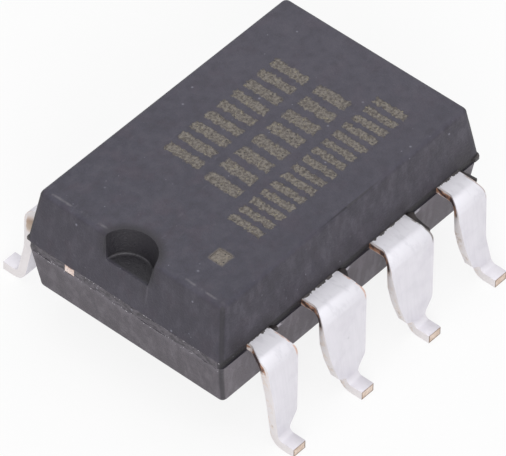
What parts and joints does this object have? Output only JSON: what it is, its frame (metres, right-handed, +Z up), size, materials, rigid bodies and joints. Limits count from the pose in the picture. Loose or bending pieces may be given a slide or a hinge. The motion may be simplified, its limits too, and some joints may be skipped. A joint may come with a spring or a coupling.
{
  "type": "soic chip",
  "caption": "Surface-mount relay chip: black drafted epoxy body with an end index notch and pin mark, on formed gull-wing leads with narrow solder feet.",
  "frame": {"origin": "centre of the bounding box's base, in the plane that the eight feet stand on", "axes": "+Z up through the top face, +X along the body away from the index notch, leads 1 to 4 on the -Y side"},
  "size_m": [0.0096, 0.0096, 0.0043],
  "materials": {
    "epoxy": "matt moulded surface",
    "tinned_copper": "satin tin with bare cut edges",
    "bare_copper": "bare copper alloy",
    "silicon": "polished die",
    "clear_silicone": "translucent",
    "gold_wire": "bright wire"
  },
  "bodies": {
    "root": {"moulded_body": "epoxy", "lead_1": "tinned_copper", "lead_2": "tinned_copper", "lead_3": "tinned_copper", "lead_4": "tinned_copper", "lead_5": "tinned_copper", "lead_6": "tinned_copper", "lead_7": "tinned_copper", "lead_8": "tinned_copper", "driver_pad_1": "bare_copper", "led_die_1": "silicon", "driver_die_1": "silicon", "switch_die_1_outer": "silicon", "switch_die_1_inner": "silicon", "coupling_dome_1": "clear_silicone", "bond_wires_1": "gold_wire", "driver_pad_2": "bare_copper", "led_die_2": "silicon", "driver_die_2": "silicon", "switch_die_2_outer": "silicon", "switch_die_2_inner": "silicon", "coupling_dome_2": "clear_silicone", "bond_wires_2": "gold_wire"}
  },
  "joints": []
}
